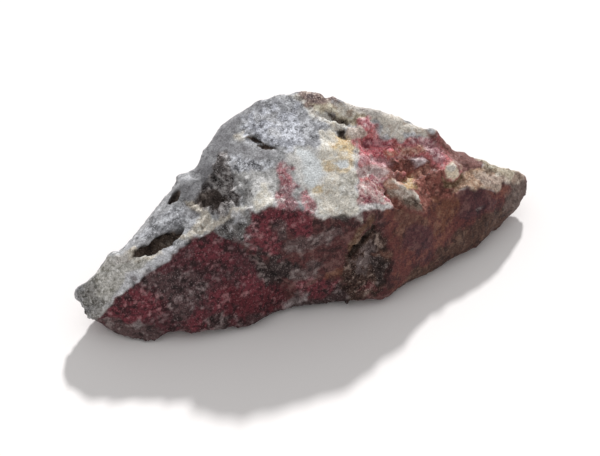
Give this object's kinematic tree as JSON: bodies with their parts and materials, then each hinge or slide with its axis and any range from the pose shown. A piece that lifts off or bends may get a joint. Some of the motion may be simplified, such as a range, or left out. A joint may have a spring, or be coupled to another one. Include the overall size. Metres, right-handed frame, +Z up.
{
  "type": "cinnabar ore specimen",
  "caption": "Long broken piece of cinnabar ore on grey quartz matrix, humped in the middle and tapering to both ends, lying on its flat underside.",
  "frame": {"origin": "centre of the bounding box in plan, on the plane that the stone rests on", "axes": "+X along the stone's long axis towards the pointed right end, -Y towards the red front wall, +Z up"},
  "size_m": [0.066, 0.0276, 0.0215],
  "materials": {
    "stone": "rough broken rock, dull, with fine sparkling grains"
  },
  "bodies": {
    "root": {"cinnabar_stone": "stone"}
  },
  "joints": []
}
